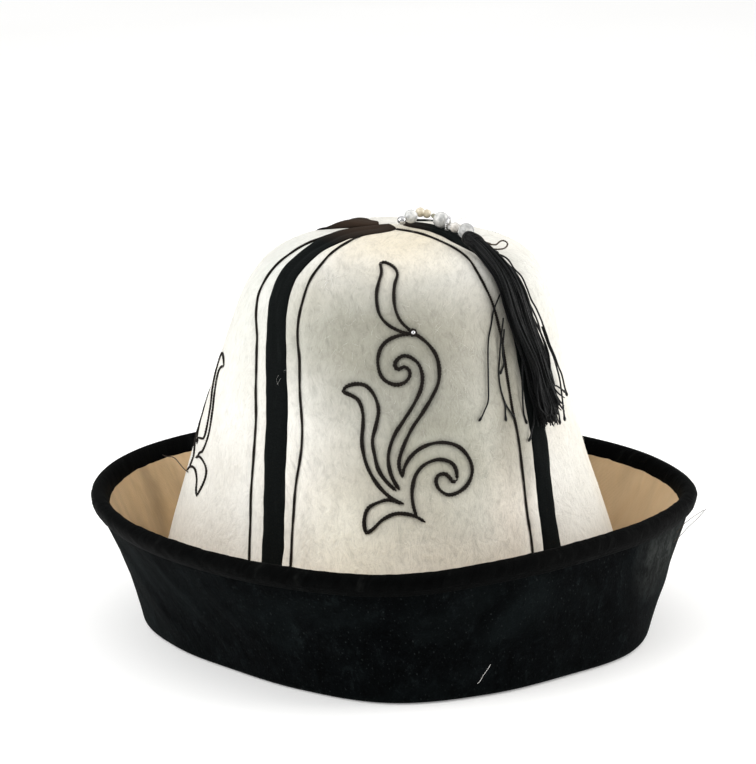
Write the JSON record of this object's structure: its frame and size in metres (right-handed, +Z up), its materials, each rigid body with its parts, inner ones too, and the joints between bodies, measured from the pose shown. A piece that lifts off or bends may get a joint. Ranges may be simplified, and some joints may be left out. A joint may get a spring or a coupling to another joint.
{
  "type": "kalpak felt hat",
  "caption": "Tall white felt kalpak with ribboned seams, scroll embroidery, a flared turned-up black brim with a beige lining, and a bead string with a tassel at the top.",
  "frame": {"origin": "middle of the bounding box in X and Y, on the plane that the brim's fold rests on", "axes": "+Z up to the apex, -Y the front of the hat, +X the hat's right-hand side in the front view, where the tassel lies"},
  "size_m": [0.2536, 0.248, 0.1784],
  "materials": {
    "felt": "matt wool felt, cream white with fine vertical fibre streaks",
    "ribbon": "flat woven black ribbon, slightly ribbed",
    "velvet": "black velvet with crushed pile",
    "lining": "plain beige lining cloth with soft wrinkles",
    "binding": "black pile binding rolled over the edge",
    "silver_bead": "worn silver-grey bead",
    "pearl_bead": "imitation pearl",
    "clear_bead": "milky clear bead",
    "tassel_thread": "silky black thread"
  },
  "bodies": {
    "root": {"gore_front": "felt", "gore_right": "felt", "gore_back": "felt", "gore_left": "felt", "ribbon_front_left": "ribbon", "ribbon_front_right": "ribbon", "ribbon_back_right": "ribbon", "ribbon_back_left": "ribbon", "brim_cover": "velvet", "brim_lining": "lining", "rim_binding": "binding", "bead_silver": "silver_bead", "bead_white_small": "pearl_bead", "bead_ivory": "pearl_bead", "bead_white": "pearl_bead", "bead_spacer": "silver_bead", "bead_pearl": "pearl_bead", "bead_clear": "clear_bead", "tassel_head": "tassel_thread", "tassel_skirt": "tassel_thread"}
  },
  "joints": []
}
